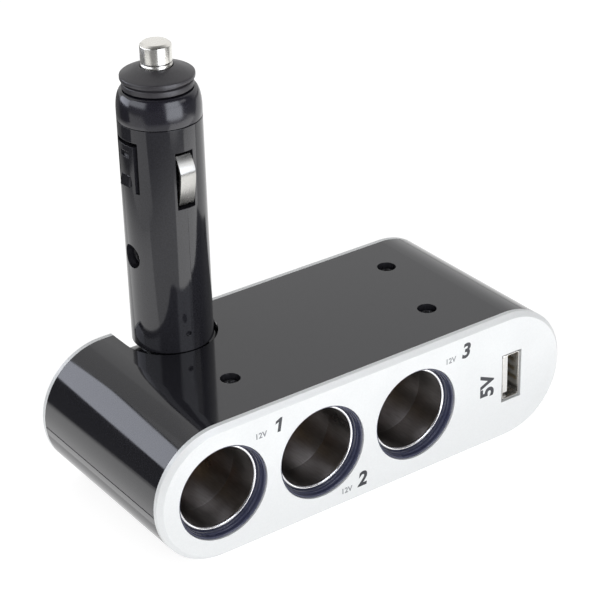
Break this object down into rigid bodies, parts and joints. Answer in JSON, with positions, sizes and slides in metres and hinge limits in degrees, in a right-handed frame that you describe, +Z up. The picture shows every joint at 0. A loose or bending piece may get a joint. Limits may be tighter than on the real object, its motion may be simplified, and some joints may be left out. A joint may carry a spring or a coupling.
{
  "type": "multi-port car charger",
  "caption": "Round-ended splitter block with a row of car lighter sockets, a USB outlet and a fused plug arm that swivels on a cross barrel.",
  "frame": {"origin": "centre of the body's underside", "axes": "+X along the row of sockets to the USB end, +Y to the rear, +Z up along the raised plug arm; the sockets open towards -Y"},
  "size_m": [0.125, 0.0571, 0.1148],
  "materials": {
    "gloss_black": "gloss",
    "silver_plate": "satin silver",
    "navy_bezel": "gloss",
    "matte_black": "matte",
    "white_plastic": "matte",
    "nickel": "bright",
    "socket_steel": "drawn",
    "steel": "plain",
    "brass": "plain",
    "black_steel": "black oxide",
    "board_green": "resist",
    "ferrite": "matte",
    "capacitor_sleeve": "sleeve",
    "insulator_brown": "fibre board",
    "red_lead": "insulation",
    "black_lead": "insulation",
    "fuse_glass": "clear"
  },
  "bodies": {
    "housing": {"upper_shell": "gloss_black", "lower_shell": "gloss_black", "front_plate": "silver_plate", "rear_plate": "silver_plate", "usb_shell": "nickel", "usb_tongue": "white_plastic", "usb_contacts": "brass", "circuit_board": "board_green", "inductor": "ferrite", "capacitors": "capacitor_sleeve", "converter_chip": "matte_black", "positive_bus_bar": "brass", "negative_bus_bar": "steel", "positive_lead": "red_lead", "negative_lead": "black_lead", "case_screws": "black_steel", "socket_bezel_1": "navy_bezel", "socket_tube_1": "socket_steel", "socket_insulator_1": "insulator_brown", "centre_contact_1": "brass", "socket_bezel_2": "navy_bezel", "socket_tube_2": "socket_steel", "socket_insulator_2": "insulator_brown", "centre_contact_2": "brass", "socket_bezel_3": "navy_bezel", "socket_tube_3": "socket_steel", "socket_insulator_3": "insulator_brown", "centre_contact_3": "brass"},
    "plug_arm": {"plug_shell_left": "gloss_black", "plug_shell_right": "gloss_black", "plug_screw": "black_steel", "fuse_spring": "steel", "fuse_terminal": "brass", "ground_ring": "brass", "plug_positive_lead": "red_lead", "plug_negative_lead": "black_lead"},
    "nose_cap": {"nose_cap": "matte_black"},
    "screw_ring": {"screw_ring": "gloss_black"},
    "tip_contact": {"tip_contact": "nickel"},
    "fuse": {"fuse_tube": "fuse_glass", "fuse_end_caps": "steel"},
    "side_contact_front": {"side_contact_front": "nickel"},
    "side_contact_rear": {"side_contact_rear": "nickel"}
  },
  "joints": [
    {"name": "arm_swivel", "type": "hinge", "parent": "housing", "child": "plug_arm", "pos_m": [-0.0287, 0.0172, 0.0247], "axis": [-1, 0, 0], "range_deg": [0, 90]},
    {"name": "cap_lift", "type": "slide", "parent": "plug_arm", "child": "nose_cap", "axis": [0, 0, 1], "range_m": [0, 0.0075]},
    {"name": "ring_turn", "type": "hinge", "parent": "nose_cap", "child": "screw_ring", "pos_m": [-0.0287, 0.0172, 0.0961], "axis": [0, 0, 1], "range_deg": [0, 1800.02]},
    {"name": "tip_press", "type": "slide", "parent": "nose_cap", "child": "tip_contact", "axis": [0, 0, -1], "range_m": [0, 0.002], "stiffness_N_per_m": 500, "springref_m": -0.002},
    {"name": "fuse_slide", "type": "slide", "parent": "plug_arm", "child": "fuse", "axis": [0, 0, -1], "range_m": [0, 0.002], "stiffness_N_per_m": 300, "springref_m": -0.002, "deforming": ["fuse_spring"]},
    {"name": "front_contact_flex", "type": "hinge", "parent": "plug_arm", "child": "side_contact_front", "pos_m": [-0.0287, 0.0103, 0.072], "axis": [-1, 0, 0], "range_deg": [0, 6.5], "stiffness_Nm_per_rad": 0.17, "springref_deg": -2.86},
    {"name": "rear_contact_flex", "type": "hinge", "parent": "plug_arm", "child": "side_contact_rear", "pos_m": [-0.0287, 0.0241, 0.072], "axis": [1, 0, 0], "range_deg": [0, 6.5], "stiffness_Nm_per_rad": 0.17, "springref_deg": -2.86}
  ],
  "couplings": [
    {"joint": "ring_turn", "follows": "cap_lift", "rad_per_m": 4188.8},
    {"joint": "fuse_slide", "follows": "tip_press", "ratio": 1}
  ]
}
